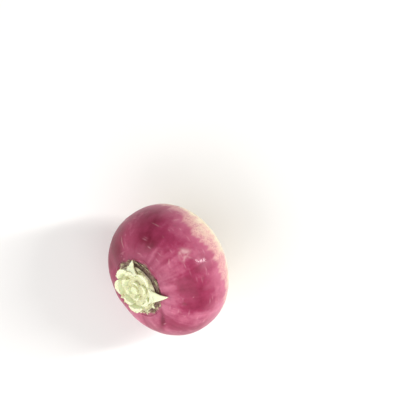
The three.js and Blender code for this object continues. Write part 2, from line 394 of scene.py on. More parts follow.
def outwards(points):
    # Unit normals of a grid of points whose columns join up round
    down = np.gradient(points, axis=0)
    around = (np.roll(points, -1, axis=1) - np.roll(points, 1, axis=1)) / 2
    normal = np.cross(down, around)
    return normal / np.maximum(np.linalg.norm(normal, axis=-1, keepdims=True), 1e-9)


def rootGrid():
    # The bare root: rows from the crown to the tail, columns round it
    radius, height = (values[:, None] for values in meridian(skin["rings"]))
    turn = fullTurn(skin["columns"])
    onCrown = (height > 0) & (radius > root["seatRadius"])
    relief = np.where(onCrown, crownRelief(radius, turn), 0)
    return {
        "radius": radius,
        "height": height,
        "turn": turn,
        "points": grown(radius, height + relief, turn),
        "fromCrown": np.degrees(np.arctan2(radius, height)),  # 0 at the crown, 180 at the tail
        "along": np.cumsum(np.hypot(np.gradient(radius[:, 0]), np.gradient(height[:, 0])))[:, None],
    }


def rowAt(grid, degrees):
    return int(np.argmin(np.abs(grid["fromCrown"][:, 0] - degrees)))


def awayFrom(grid, row, turn, rows=slice(None)):
    # Distances round and along the skin from one place on it, for the rows asked for
    return turnApart(grid["turn"], turn) * grid["radius"][row, 0], grid["along"][rows] - grid["along"][row]


def swellings(grid):
    # Soft noise of three sizes, and on the tail side noise squeezed into bands round the root
    points = grid["points"]
    rise = sum(amount * smoothNoise(points, size, 30 + number)
               for number, (size, amount) in enumerate(skin["swellings"]))
    stretch = skin["bandStretch"]
    squeezed = stacked(points[..., 0] / stretch, points[..., 1] / stretch, grid["height"])
    bands = smoothNoise(squeezed, skin["bandSpacing"], 41)
    return rise + skin["bandRise"] * smoothStep(grid["fromCrown"], *skin["bandStart"]) * bands


def crossDashes(grid, rng):
    # Bells, narrow along the root and long round it, closer together on the tail side
    dash = np.zeros(grid["points"].shape[:2])
    first, last = skin["dashSpan"]
    shortest, longest = skin["dashLength"]
    for _ in range(skin["dashCount"]):
        row = rowAt(grid, first + (last - first) * rng.random() ** skin["dashCrowding"])
        rows = slice(max(row - skin["dashReach"], 0), row + skin["dashReach"] + 1)
        turn = rng.uniform(-math.pi, math.pi)
        full = smoothStep(grid["radius"][row, 0], *skin["dashFullGirth"])
        extra = (longest - shortest) * rng.random() ** 1.5 * full
        slant = rng.normal(0, skin["dashSlant"])
        strength = rng.uniform(*skin["dashStrength"])
        arc, step = awayFrom(grid, row, turn, rows)
        spot = bell(arc / ((shortest + extra) / 2)) * bell((step - slant * arc) / skin["dashWidth"])
        dash[rows] = np.maximum(dash[rows], strength * spot)
    return dash


def grazes(grid, rng):
    # Soft bowed strokes laid at a slant, broken up where the skin wasn't touched
    strokes = list(skin["scuffs"])
    for _ in range(skin["looseScuffs"]):
        strokes.append([rng.uniform(*between) for between in skin["looseScuff"]])
    scuff = np.zeros(grid["points"].shape[:2])
    for degrees, turn, length, slant, width, strength in strokes:
        arc, step = awayFrom(grid, rowAt(grid, degrees), turn)
        lengthwise = arc * math.cos(slant) + step * math.sin(slant)
        sideways = step * math.cos(slant) - arc * math.sin(slant) - skin["scuffBow"] * lengthwise ** 2
        stroke = bell((lengthwise / (length / 2)) ** 2) * bell(sideways / width)
        scuff = np.maximum(scuff, strength * stroke)
    return scuff * smoothStep(smoothNoise(grid["points"], skin["scuffBreaks"], 61), *skin["scuffEdge"])


def dents(grid, rng):
    # Shallow bells, each stretched a little one way
    points = grid["points"]
    pit = np.zeros(points.shape[:2])
    for _ in range(skin["pitCount"]):
        centre = points[rng.integers(*skin["pitRings"]), rng.integers(0, skin["columns"])]
        size = rng.uniform(*skin["pitSize"])
        gap = np.linalg.norm((points - centre) * [1, 1, rng.uniform(*skin["pitStretch"])], axis=-1)
        pit = np.maximum(pit, rng.uniform(*skin["pitStrength"]) * bell(gap / size))
    return pit


def corkRing(grid):
    # Cork round the crown: how much of it there is, stopping unevenly on the shoulder, and its ragged
    # concentric ridges
    points, radius = grid["points"], grid["radius"]
    edge = skin["corkEdge"] + sum(reach * smoothNoise(points, size, 51 + number)
                                  for number, (size, reach) in enumerate(skin["corkWander"]))
    cork = 1 - smoothStep(radius, edge - skin["corkFade"], edge + skin["corkFade"])
    around, across = skin["corkRidges"]
    ridges = smoothNoise(stacked(points[..., 0] / around, points[..., 1] / around, radius / across), 1, 53)
    return cork * (grid["height"] > 0), ridges


def purpleSpread(grid):
    # Noise stretched along the root gives the streaks, plain noise the patches, and a cosine round the root
    # paints light on one side and shade on the other. Returns the degrees from each point to the purple's
    # wandering edge, its depth from 0, darkest, to 1, and the fine streaks
    turn, fromCrown = grid["turn"], grid["fromCrown"]

    def streaks(size, seed, layers):
        around, along = size
        space = stacked(around * np.cos(turn), around * np.sin(turn), along * fromCrown)
        return layeredNoise(space, 1, seed, layers)

    broad = streaks(skin["broadStreaks"], 21, 2)
    fine = streaks(skin["fineStreaks"], 22, 3)
    patches = layeredNoise(grid["points"], skin["patchSize"], 23)
    wander = skin["boundaryWander"][0] * patches + skin["boundaryWander"][1] * fine
    notchDepth, notchTurn, notchWidth = skin["creamNotch"]
    notch = notchDepth * bell(turnApart(turn, notchTurn) / notchWidth)
    inside = skin["boundary"] - notch + wander - fromCrown
    # The last part is painted light and shade: one side of the root paler, the far side darker
    parts = (broad, patches, fine, np.cos(turn - skin["paintedLightTurn"]))
    depth = 0.5 + sum(amount * part for amount, part in zip(skin["depthParts"], parts))
    ribTurn, ribChange, ribStart, ribDarkest, ribReach, ribWidth = skin["darkRib"]
    ribAway = turnApart(turn, np.radians(ribTurn + ribChange * (fromCrown - ribStart)))
    rib = bell(ribAway / ribWidth) * bell((fromCrown - ribStart - ribDarkest) / ribReach)
    depth = depth - skin["darkRibStrength"] * rib
    for degrees, where, size, strength in skin["darkPatches"]:
        arc, step = awayFrom(grid, rowAt(grid, degrees), where)
        depth = depth - strength * bell(np.hypot(arc, step) * (1 + 0.4 * patches) / size)
    return inside, depth, fine


def rootSurface():
    # The bare root moved along its normals by everything that raises or lowers the skin, then leant,
    # pressed flat where it rests and set in its place
    grid = rootGrid()
    radius, height = grid["radius"], grid["height"]
    rng = np.random.default_rng(skin["seed"])
    rise = swellings(grid)
    dash = crossDashes(grid, rng)
    scuff = grazes(grid, rng)
    pit = dents(grid, rng)
    cork, ridges = corkRing(grid)
    rise += skin["dashRise"] * dash - skin["scuffDepth"] * scuff - skin["pitDepth"] * pit
    rise += skin["corkRise"] * cork * ridges
    seated = smoothStep(radius, root["seatRadius"], root["seatRadius"] + skin["seatFade"])
    rise *= np.where(height > 0, seated, 1) * smoothStep(grid["fromCrown"], 2, 4)
    cutEnd = 1.0 * ((height < root["tailEndHeight"] + 0.2) & (radius < root["tailEndRadius"]))
    rise *= 1 - 0.7 * cutEnd
    inside, depth, streak = purpleSpread(grid)
    place = pressed(leaning(grid["points"] + outwards(grid["points"]) * rise[..., None]))
    marks = {
        "fromCrown": grid["fromCrown"],
        "inside": inside,
        "depth": depth,
        "streak": streak,
        "dash": dash,
        "pit": pit,
        "scuff": scuff,
        "cork": cork,
        "cutEnd": cutEnd * (0.72 + 0.28 * np.cos(2 * math.pi * radius / skin["tailRing"])),
    }
    return toPlace(place), marks


rootRings, rootMarks = rootSurface()
rootSkin = makePiece("rootSkin", *joined([(rootRings, rootMarks)]))
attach(rootSkin, "root")
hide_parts("turnip_root")
print("root skin made:", len(rootSkin.data.vertices), "points")


# The trimmed leaf stalks

stalks = {
    "tiers": (
        {"count": 5, "radius": 9.2, "width": 8.2, "thickness": 3.1},
        {"count": 3, "radius": 7.5, "width": 6, "thickness": 2.6},
        {"count": 2, "radius": 5.4, "width": 5, "thickness": 2.2},
        {"count": 3, "radius": 3.3, "width": 3.4, "thickness": 1.5},
    ),
    "firstTurn": 2.428,
    "halfThickness": 0.375,  # share of the thickness either side of the middle line
    "bow": 0.6,  # share of the thickness by which the ends stand back
    "foot": 21.7,
    "flare": 0.3,
    "swell": 0.16,
    "cutHeight": 24.3,
    "cutSlope": (0.05, -0.035),
    "cutSpread": (0.16, 0.05),  # how much each cut's height and slope differ
    "columns": 96,
    "wallRings": 12,
    "wallTop": 0.95,
    "rimRings": 4,
    "faceRings": 12,
    "faceMiddle": 0.96,
    "rimRounding": 0.16,
    "ribs": 14,
    "ribShare": 0.07,
    "grainSize": 0.55,
    "grainRise": 0.05,
    "fibreSize": 0.45,
    "fibreRise": 0.07,
    "tornSize": 0.7,
    "tornEdge": (0.1, 0.8),  # noise values between which the outer lip is torn
    "tornRise": 0.4,
    "folded": (0, 6),  # the leaves whose outer lip is folded down as a flap
    "faceHollow": 0.07,
    "knifeLines": (0.035, 0.95),  # height and spacing of the knife's fine lines across the cut
    "knifeAcross": (0.8, 0.6),  # the direction from line to line
    "knifeWander": 0.3,
    "bundleSpacing": 0.85,
    "bundleReach": 0.82,  # share of the half width that they fill
    "bundleOffset": (0.03, 0.05),  # off the middle line, and how much that differs
    "bundleSize": 0.24,
    "bundleSpread": (0.85, 1.15),
    "bundleRise": 0.05,
}


def leafList():
    # Every leaf of the head in the order it grew, each a golden turn on from the last
    every = []
    for tier in stalks["tiers"]:
        for _ in range(tier["count"]):
            every.append({**tier, "turn": stalks["firstTurn"] + len(every) * root["leafTurn"]})
    return every


def turnedBy(points, turn):
    c, s = math.cos(turn), math.sin(turn)
    return np.asarray(points) @ np.array([[c, s, 0], [-s, c, 0], [0, 0, 1]])


def knifeHeight(x, y):
    return stalks["cutHeight"] + stalks["cutSlope"][0] * x + stalks["cutSlope"][1] * y


def crescent(phi, shrink, leaf):
    # An ellipse bent into a crescent: the middle line bows back by the square of the distance along it.
    # shrink draws the outline in to the middle line
    v = np.cos(phi) * (1 - 0.12 * shrink)
    ribs = 1 + stalks["ribShare"] * np.cos(stalks["ribs"] * phi) * (np.sin(phi) > 0)
    thick = stalks["halfThickness"] * np.sin(phi) * ribs * (1 - shrink)
    x = leaf["radius"] + leaf["thickness"] * (stalks["halfThickness"] - stalks["bow"] * v ** 2 + thick)
    return x, leaf["width"] / 2 * v * (1 - 0.02 * shrink)


def strandSpots(x, y, leaf, rng):
    # Strands of the leaf's veins, cut across: round spots spaced along the middle line of the face
    spots = np.zeros(x.shape)
    count = max(3, 2 * round(leaf["width"] / stalks["bundleSpacing"] / 2) - 1)
    flared = stalks["flare"] * (stalks["cutHeight"] - stalks["foot"])
    offset, spread = stalks["bundleOffset"]
    for at in np.linspace(-stalks["bundleReach"], stalks["bundleReach"], count):
        aside = stalks["halfThickness"] - stalks["bow"] * at ** 2 + offset + spread * rng.normal()
        middle = leaf["radius"] + leaf["thickness"] * aside + flared
        gap = np.hypot(x - middle, y - leaf["width"] / 2 * at)
        size = stalks["bundleSize"] * (1.15 - 0.4 * abs(at)) * rng.uniform(*stalks["bundleSpread"])
        spots = np.maximum(spots, bell(gap / size))
    return spots


def stalkSurface(leaf, number):
    # Rings up the wall, over a rounded rim and in across the cut face to its middle line. up is the share of
    # the height, shrink the share of the way in
    rng = np.random.default_rng(600 + number)
    phi = fullTurn(stalks["columns"])
    wall, rim, inner = stalks["wallRings"], stalks["rimRings"], stalks["faceRings"]
    t = np.linspace(0, math.pi / 2, rim)
    half = leaf["thickness"] * stalks["halfThickness"]
    rimIn = stalks["rimRounding"] / half * (1 - np.cos(t))
    rimEnd = rimIn[-1]
    faceIn = np.linspace(rimEnd, stalks["faceMiddle"], inner + 1)[1:]
    up = np.concatenate([np.linspace(0, stalks["wallTop"], wall), np.ones(rim + inner)])[:, None]
    shrink = np.concatenate([np.zeros(wall), rimIn, faceIn])[:, None]
    drop = np.concatenate([np.zeros(wall), stalks["rimRounding"] * (1 - np.sin(t)), np.zeros(inner)])[:, None]
    x, y = crescent(phi, shrink, leaf)
    heightSpread, slopeSpread = stalks["cutSpread"]
    lift = rng.normal(0, heightSpread)
    lean = rng.normal(0, slopeSpread, 2)
    xTop = x + stalks["flare"] * (stalks["cutHeight"] - stalks["foot"])
    tops = turnedBy(stacked(xTop, y, 0), leaf["turn"])
    top = knifeHeight(tops[..., 0], tops[..., 1]) + lift + lean[0] * (x - leaf["radius"]) + lean[1] * y
    z = stalks["foot"] + (top - stalks["foot"]) * up - drop
    x = x + stalks["flare"] * (z - stalks["foot"])
    x = x + stalks["swell"] * np.sin(math.pi * up) * np.sin(phi) * (1 - shrink)
    points = stacked(x, y, z)
    onFace = up > 0.99
    grain = smoothNoise(points + 7 * number, stalks["grainSize"], 71)

    # Fibres run up the walls, and their ends stand torn at the outer lip here and there
    around = stacked(np.cos(phi) * leaf["width"], np.sin(phi) * leaf["thickness"] * 2, 5.0 * number)
    fibre = smoothNoise(around, stalks["fibreSize"], 72)
    points[..., 0] += stalks["fibreRise"] * fibre * np.sign(np.sin(phi)) * ~onFace
    torn = smoothNoise(around, stalks["tornSize"], 73)
    torn = smoothStep(torn, *stalks["tornEdge"]) * smoothStep(np.sin(phi), -0.1, 0.5)
    torn = torn * (number not in stalks["folded"])
    points[..., 2] += stalks["tornRise"] * torn * bell((shrink - 0.05) / 0.16) * (up > 0.9)

    lineRise, lineSpacing = stalks["knifeLines"]
    across = points[..., :2] @ stalks["knifeAcross"] + stalks["knifeWander"] * grain
    lines = lineRise * np.sin(2 * math.pi * across / lineSpacing)
    hollow = stalks["faceHollow"] * smoothStep(shrink, rimEnd, 1)
    points[..., 2] += (stalks["grainRise"] * grain + lines - hollow) * onFace
    strand = strandSpots(x, y, leaf, rng) * onFace
    points[..., 2] += stalks["bundleRise"] * strand
    marks = {
        "cutFace": smoothStep(up, 0.955, 1) * smoothStep(shrink, rimEnd, rimEnd + 0.16),
        "rim": (bell((shrink - rimEnd) / 0.2) + 0.35 * torn) * smoothStep(up, 0.8, 1),
        "strand": strand,
        "pink": 0.6 * smoothStep(np.sin(phi), -0.2, 0.6) * (1 - smoothStep(up, 0.1, 0.75)),
        # darker foot of the wall: partly aged tissue, partly painted shade between the stalks
        "old": 0.5 * (1 - smoothStep(up, 0.05, 0.4)),
        "tone": rng.uniform(-1, 1) + 1.2 * fibre,
    }
    return toPlace(turnedBy(points, leaf["turn"])), marks


leaves = leafList()
stalkParts = [stalkSurface(leaf, number) for number, leaf in enumerate(leaves)]
stalkStubs = makePiece("stalkStubs", *joined(stalkParts, zippedMesh))
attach(stalkStubs, "root")
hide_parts("leaf_stalk_stubs")
print("leaf stalks made:", len(leaves))


# The low plate of crown tissue that the stalks stand on, with the bud in its middle

plate = {
    "seatedRadius": 9.2,  # the underside's middle is sunk in the root
    "seatedHeight": 20.75,
    "underside": 21.62,
    "undersideDroop": 0.15,
    "undersideStart": 9.9,
    "radius": 11.9,
    "edgeHeight": 21.55,
    "edgeIn": 1.5,
    "top": 22.35,
    "budFoot": 2.5,
    "budRadius": 2.1,
    "budStep": 0.1,
    "budBelowCut": (0.35, 0.25),  # its rim and its face
    "middle": 0.15,
    "rings": {"seated": 4, "underside": 6, "edge": 13, "top": 46, "budWall": 8, "budFace": 14},
    "columns": 220,
    "raggedShare": 0.045,
    "raggedFrom": (9.5, 11),
    "edgeMarks": (9.8, 11.6),
    "budLobes": 0.07,
    "unevenness": ((2.4, 0.16), (0.9, 0.1), (0.45, 0.06)),  # size and height
    "leafRingSpacing": 0.75,  # young leaves in the bud, cut across
    "leafRingRise": 0.16,
    "scarCount": 44,
    "scarRadius": (2.9, 11.3),
    "scarBend": 0.16,
    "scarRise": 0.16,
    "scarSize": (0.15, 0.95),  # width and half length
}


def plateOutline():
    # Distance from the axis and height of each ring, from the middle of the underside out round the edge and
    # back in over the top to the bud
    counts = plate["rings"]
    rimDrop, faceDrop = plate["budBelowCut"]
    topStart = plate["radius"] - plate["edgeIn"]
    radius = np.concatenate([
        np.linspace(1, plate["seatedRadius"], counts["seated"]),
        np.linspace(plate["undersideStart"], plate["radius"], counts["underside"]),
        np.linspace(plate["radius"], topStart, counts["edge"] + 1)[1:],
        np.linspace(topStart - 0.1, plate["budFoot"], counts["top"]),
        np.full(counts["budWall"], plate["budRadius"]),
        np.linspace(plate["budRadius"] - plate["budStep"], plate["middle"], counts["budFace"])])
    height = np.concatenate([
        np.full(counts["seated"], plate["seatedHeight"]),
        np.linspace(plate["underside"], plate["underside"] - plate["undersideDroop"], counts["underside"]),
        np.linspace(plate["edgeHeight"], plate["top"], counts["edge"] + 1)[1:],
        np.full(counts["top"], plate["top"]),
        np.linspace(plate["top"] + plate["budStep"], stalks["cutHeight"] - rimDrop, counts["budWall"]),
        np.full(counts["budFace"], stalks["cutHeight"] - faceDrop)])
    return radius[:, None], height[:, None]


def plateScars(radius, turn):
    # Low crescents of leaves that never grew, a golden turn apart between the stalks
    scars = 0
    nearest, furthest = plate["scarRadius"]
    width, reach = plate["scarSize"]
    for leaf in range(plate["scarCount"]):
        at = furthest - (furthest - nearest) * math.sqrt(leaf / plate["scarCount"])
        away = at * turnApart(turn, stalks["firstTurn"] + 1.2 + leaf * root["leafTurn"])
        middle = at - plate["scarBend"] * away ** 2
        scars = np.maximum(scars, bell((radius - middle) / width) * bell((away / reach) ** 2))
    return scars


def plateSurface():
    # The outline spun round with a ragged edge, an uneven top, and rings of young leaves across the bud
    radius, height = plateOutline()
    turn = fullTurn(plate["columns"])
    below = plate["rings"]["seated"] + plate["rings"]["underside"]
    overTop = (np.arange(len(radius)) >= below)[:, None]
    bud = smoothStep(-radius, -plate["budRadius"] - 0.25, -plate["budRadius"]) * overTop
    ragged = plate["raggedShare"] * layeredNoise(stacked(3 * np.cos(turn), 3 * np.sin(turn), 0), 0.8, 81)
    ragged = ragged * smoothStep(radius, *plate["raggedFrom"])
    radius = radius * (1 + ragged) * (1 + plate["budLobes"] * bud * np.cos(3 * turn + 1))
    points = stacked(radius * np.cos(turn), radius * np.sin(turn), height)
    for number, (size, amount) in enumerate(plate["unevenness"]):
        points[..., 2] += amount * smoothNoise(points, size, 85 + number) * overTop * (1 - 0.7 * bud)
    wave = 1.9 * np.sin(turn) + 1.2 * np.sin(2 * turn)
    leafRing = np.cos(2 * math.pi * radius / plate["leafRingSpacing"] + wave)
    points[..., 2] += plate["leafRingRise"] * leafRing * bud * (radius < 1.95)
    scar = plateScars(radius, turn) * overTop * (1 - bud)
    points[..., 2] += plate["scarRise"] * scar
    atEdge = smoothStep(radius, *plate["edgeMarks"])
    marks = {
        "cutFace": 0.7 * bud * (radius < 2.05),
        "rim": np.maximum(np.maximum(bell((radius - 2.0) / 0.2) * bud, 0.7 * atEdge), scar),
        "strand": 0.8 * (0.5 + 0.5 * leafRing) * bud,
        "pink": 0.25 * atEdge * (1 - bud),
        # the plate between the stalks darker: partly aged tissue, partly painted shade
        "old": (0.6 - 0.3 * atEdge + 0.3 * scar) * (1 - bud),
        "tone": smoothNoise(points, 3.1, 88),
    }
    return reversedRings(toPlace(points), marks)


crownPlate = makePiece("crownPlate", *joined([plateSurface()]))
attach(crownPlate, "root")


# Two leaf bases whose outer skin is split and bent down over the shoulder

flaps = {
    "pieces": (
        {"leaf": 0, "tipRadius": 19.1, "width": 6.0, "thickness": 1.7, "bend": 2.0, "flare": 0.6},
        {"leaf": 6, "tipRadius": 15.3, "width": 6.2, "thickness": 1.8, "bend": -1.3, "flare": 2.6},
    ),
    "rings": 44,
    "columns": 96,
    "clearance": 0.3,
    "sag": 0.35,  # share of the groove's depth
    "abovePlate": 22.0,
    "start": 0.35,  # share of the stalk's thickness out from its middle
    "ragged": 0.06,
    "ribs": 12,
    "ribRise": 0.06,
    "grainRise": 0.05,
    "fibreRise": 0.07,
    "edgeCurl": 0.35,
}


def flapUnderside(radius):
    sag = flaps["sag"] * root["grooveDepth"] * bell((radius - root["grooveRadius"]) / root["grooveWidth"])
    lying = shoulderHeight(radius) - sag + root["scarRise"] + flaps["clearance"]
    return np.where(radius < plate["radius"], np.maximum(lying, flaps["abovePlate"]), lying)


def flapSurface(flap, number):
    # A tongue of oval section, wide where it is torn from its stalk and narrowing to a tip that bends aside
    leaf = leaves[flap["leaf"]]
    start = leaf["radius"] + flaps["start"] * leaf["thickness"]
    share = (np.linspace(0, 1, flaps["rings"] + 1)[:-1] ** 0.85)[:, None]
    phi = fullTurn(flaps["columns"])
    radius = start + (flap["tipRadius"] - start) * share
    ragged = 1 + flaps["ragged"] * np.sin(9 * share + 2 * number) * share
    half = (flap["width"] / 2 * (1 - share) ** 0.8 + flap["flare"] * (1 - share) ** 3.5) * ragged
    thick = flap["thickness"] * (1 - 0.6 * share)
    across = np.cos(phi)
    bulge = np.sign(np.sin(phi)) * np.abs(np.sin(phi)) ** 0.8
    onTop = bulge > 0
    curl = flaps["edgeCurl"] * across ** 2 * smoothStep(share, 0.15, 0.6) * (1 - share)
    ribs = np.cos(flaps["ribs"] * math.pi * across)
    z = flapUnderside(radius) + thick / 2 * (1 + bulge) + curl + flaps["ribRise"] * ribs * onTop * (1 - share)
    points = stacked(radius, half * across + flap["bend"] * share ** 1.5, z)
    points[..., 2] += flaps["grainRise"] * smoothNoise(points, 0.8, 95)
    fibre = layeredNoise(stacked(0.35 * radius, 2.2 * across, bulge), 0.5, 96)
    points[..., 2] += flaps["fibreRise"] * fibre * onTop * (1 - share)
    marks = {
        "cutFace": 0.6 * onTop * smoothStep(share, 0.02, 0.3),
        "rim": np.maximum(bell((1 - np.abs(across)) / 0.07), 1.3 * smoothStep(share, 0.8, 1)),
        "strand": (0.8 * ribs + 0.9 * fibre) * onTop * (1 - 0.7 * share),
        "pink": 0.12 * (1 - share),
        "old": 0.0,
        "tone": 0.4 * smoothNoise(points, 2.2, 97) + 1.2 * fibre,
    }
    marks = {mark: np.broadcast_to(values, points.shape[:2]) for mark, values in marks.items()}
    return reversedRings(toPlace(turnedBy(points, leaf["turn"])), marks)


flapParts = [flapSurface(flap, number) for number, flap in enumerate(flaps["pieces"])]
splitFlaps = makePiece("splitFlaps", *joined(flapParts))
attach(splitFlaps, "root")
print("crown plate and flaps made")


# Dry scales of older leaves that ring the stalks

scales = {
    "seed": 2203,
    "rows": (  # the dry scales, and the torn pale sheaths inside them
        {"count": 44, "radius": (12.3, 13.7), "lean": (0.5, 1.35), "tone": (-1, 1)},
        {"count": 26, "radius": (11.0, 11.9), "lean": (0.2, 1.0), "tone": (1.0, 3.4)},
    ),
    "width": (1.3, 4.0),
    "length": (0.7, 2.0),
    "thickness": 0.16,
    "narrowing": 0.75,
    "bow": 0.9,
    "torn": 0.35,
    "rings": 9,
    "columns": 22,
    "sunk": 0.35,
}


def scaleSurface(rng, row):
    # A thin tongue: oval section, narrowing to a torn tip, curling over outwards as it rises
    turn = rng.uniform(-math.pi, math.pi)
    radius = rng.uniform(*row["radius"])
    width = rng.uniform(*scales["width"])
    length = rng.uniform(*scales["length"])
    leanOut = rng.uniform(*row["lean"])
    share = np.linspace(0, 1, scales["rings"])[:, None]
    phi = fullTurn(scales["columns"])
    across = np.cos(phi)
    torn = 1 - scales["torn"] * smoothNoise(stacked(across * 2, 0, radius), 0.6, 3) * share
    half = width / 2 * (1 - share ** 2.2 * scales["narrowing"])
    angle = leanOut * (0.45 + 0.75 * share)
    rise = length * share * torn
    thick = scales["thickness"] * (1 - 0.6 * share) / 2
    bow = scales["bow"] * (half * across) ** 2 / radius
    onPlate = plate["top"] * (radius < plate["radius"])
    ground = max(shoulderHeight(radius) + crownRelief(radius, turn), onPlate) - scales["sunk"]
    x = radius + rise * np.sin(angle) + thick * np.sin(phi) * np.cos(angle) - bow
    z = ground + rise * np.cos(angle) - thick * np.sin(phi) * np.sin(angle)
    marks = {"share": share, "tone": rng.uniform(*row["tone"])}
    return toPlace(turnedBy(stacked(x, half * across, z), turn)), marks


rng = np.random.default_rng(scales["seed"])
scaleParts = [scaleSurface(rng, row) for row in scales["rows"] for _ in range(row["count"])]
dryScales = makePiece("dryScales", *joined(scaleParts))
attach(dryScales, "root")
print("dry scales made:", len(scaleParts))


# Fine roots on the tail and along the two creases

rootlets = {
    "seed": 5150,
    "spots": (  # how many, between which angles from the crown, and whether along the creases
        {"count": 26, "span": (139, 167), "onCrease": True},
        {"count": 26, "span": (167, 174.5), "onCrease": False},
    ),
    "creaseSpread": 0.09,
    "length": (1.2, 5.5),
    "thickness": (0.09, 0.2),
    "unevenness": 0.12,
    "tailward": (0.1, 0.9),
    "bend": 0.4,
    "curl": 0.2,
    "sag": 0.25,
    "rings": 14,
    "columns": 7,
    "sunk": 0.5,
    "floorGap": 0.2,
}


def rootletPath(rng, spot):
    # A curve that leaves the skin at a right angle, then bends, curls and sags by rising powers of the
    # distance along it
    degrees = rng.uniform(*spot["span"])
    if spot["onCrease"]:
        side = root["creaseTurn"] + math.pi * rng.integers(0, 2)
        turn = side + rng.normal(0, rootlets["creaseSpread"])
    else:
        turn = rng.uniform(-math.pi, math.pi)
    i = int(np.argmin(np.abs(rootMarks["fromCrown"][:, 0] - degrees)))
    j = int(round((turn % (2 * math.pi)) / (2 * math.pi) * skin["columns"])) % skin["columns"]
    down = rootRings[i + 1, j] - rootRings[i - 1, j]
    around = rootRings[i, (j + 1) % skin["columns"]] - rootRings[i, j - 1]
    out = np.cross(down, around)
    out /= np.linalg.norm(out)
    tailward = down / np.linalg.norm(down)
    length = rng.uniform(*rootlets["length"])
    t = np.linspace(0, 1, rootlets["rings"])[:, None]
    bend = rng.normal(0, rootlets["bend"], 3) + tailward * rng.uniform(*rootlets["tailward"])
    curl = rng.normal(0, rootlets["curl"], 3)
    sag = np.array([0, 0, rootlets["sag"]])
    path = rootRings[i, j] - rootlets["sunk"] * out
    path = path + length * (t * out + t ** 2 * (0.5 * bend - sag) + t ** 3 * 0.4 * curl)
    path[:, 2] = np.maximum(path[:, 2], rootlets["floorGap"])
    return path


def rootletSurface(rng, spot):
    # Rings of a tapering tube along the path, set square to it
    path = rootletPath(rng, spot)
    along = np.gradient(path, axis=0)
    along /= np.linalg.norm(along, axis=1, keepdims=True)
    side = np.cross(along, [0.31, 0.52, 0.79])
    side /= np.linalg.norm(side, axis=1, keepdims=True)
    other = np.cross(along, side)
    phi = fullTurn(rootlets["columns"])[..., None]
    share = np.linspace(0, 1, rootlets["rings"])[:, None]
    taper = rng.uniform(*rootlets["thickness"]) * (1 - 0.8 * share ** 1.3)
    taper *= 1 + rootlets["unevenness"] * rng.normal(size=share.shape)
    around = np.cos(phi) * side[:, None] + np.sin(phi) * other[:, None]
    marks = {"share": share, "tone": np.full(share.shape, rng.uniform(-1, 1))}
    return reversedRings(path[:, None] + around * taper[..., None], marks)


rng = np.random.default_rng(rootlets["seed"])
rootletParts = [rootletSurface(rng, spot) for spot in rootlets["spots"] for _ in range(spot["count"])]
fineRoots = makePiece("fineRoots", *joined(rootletParts))
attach(fineRoots, "root")
print("fine roots made:", len(rootletParts))


# Finishes

def fromHex(text):
    # sRGB hex to linear red, green, blue and alpha
    parts = [int(text[i:i + 2], 16) / 255 for i in (1, 3, 5)]
    return tuple(c / 12.92 if c <= 0.04045 else ((c + 0.055) / 1.055) ** 2.4 for c in parts) + (1.0,)


def addNode(tree, kind, inputs=None, give=0, stops=(), **settings):
    # Adds a node, sets its properties, gives its inputs values or links, sets a ramp's stops, and returns the
    # asked output. Map Range and Math have their value at input 0, a Mix of colours has its share at 0 and
    # its colours at 6 and 7
    node = tree.nodes.new("ShaderNode" + kind)
    for name, value in settings.items():
        setattr(node, name, value)
    for key, value in (inputs or {}).items():
        if isinstance(value, bpy.types.NodeSocket):
            tree.links.new(value, node.inputs[key])
        else:
            node.inputs[key].default_value = value
    for _ in stops[2:]:
        node.color_ramp.elements.new(0.5)
    for number, (place, colour) in enumerate(stops):
        node.color_ramp.elements[number].position = place
        node.color_ramp.elements[number].color = colour
    return node.outputs[give] if len(node.outputs) else node


# Settings that many nodes share
eased = {"interpolation_type": "SMOOTHSTEP"}
times = {"operation": "MULTIPLY"}
timesPlus = {"operation": "MULTIPLY_ADD"}
blended = {"data_type": "RGBA", "give": 2}


def newFinish(name):
    # An empty material, with a function that adds a node to it
    finish = bpy.data.materials.new(name)
    finish.use_nodes = True
    finish.node_tree.nodes.clear()
    return finish, functools.partial(addNode, finish.node_tree)


def marksOf(add, names):
    # The numbers that a piece's points hold under these names
    return [add("Attribute", give="Fac", attribute_name=name) for name in names.split()]


def linear(colours):
    return {name: fromHex(value) for name, value in colours.items()}


skinFinish = {
    "deep": "#741230",
    "middle": "#9c3456",
    "rose": "#cf7791",
    "blush": "#dc9a9f",
    "cream": "#f4e9d0",
    "creamShade": "#e3cfa9",
    "tail": "#cbae80",
    "dullShoulder": "#94586c",
    "cork": "#a79585",
    "corkMiddle": "#86705f",
    "corkDark": "#544139",
    "dashOnPurple": "#d797a6",
    "dashOnCream": "#b8955f",
    "graze": "#e8c0bc",
    "pit": "#6a4a40",
    "flesh": "#efe6cd",
}


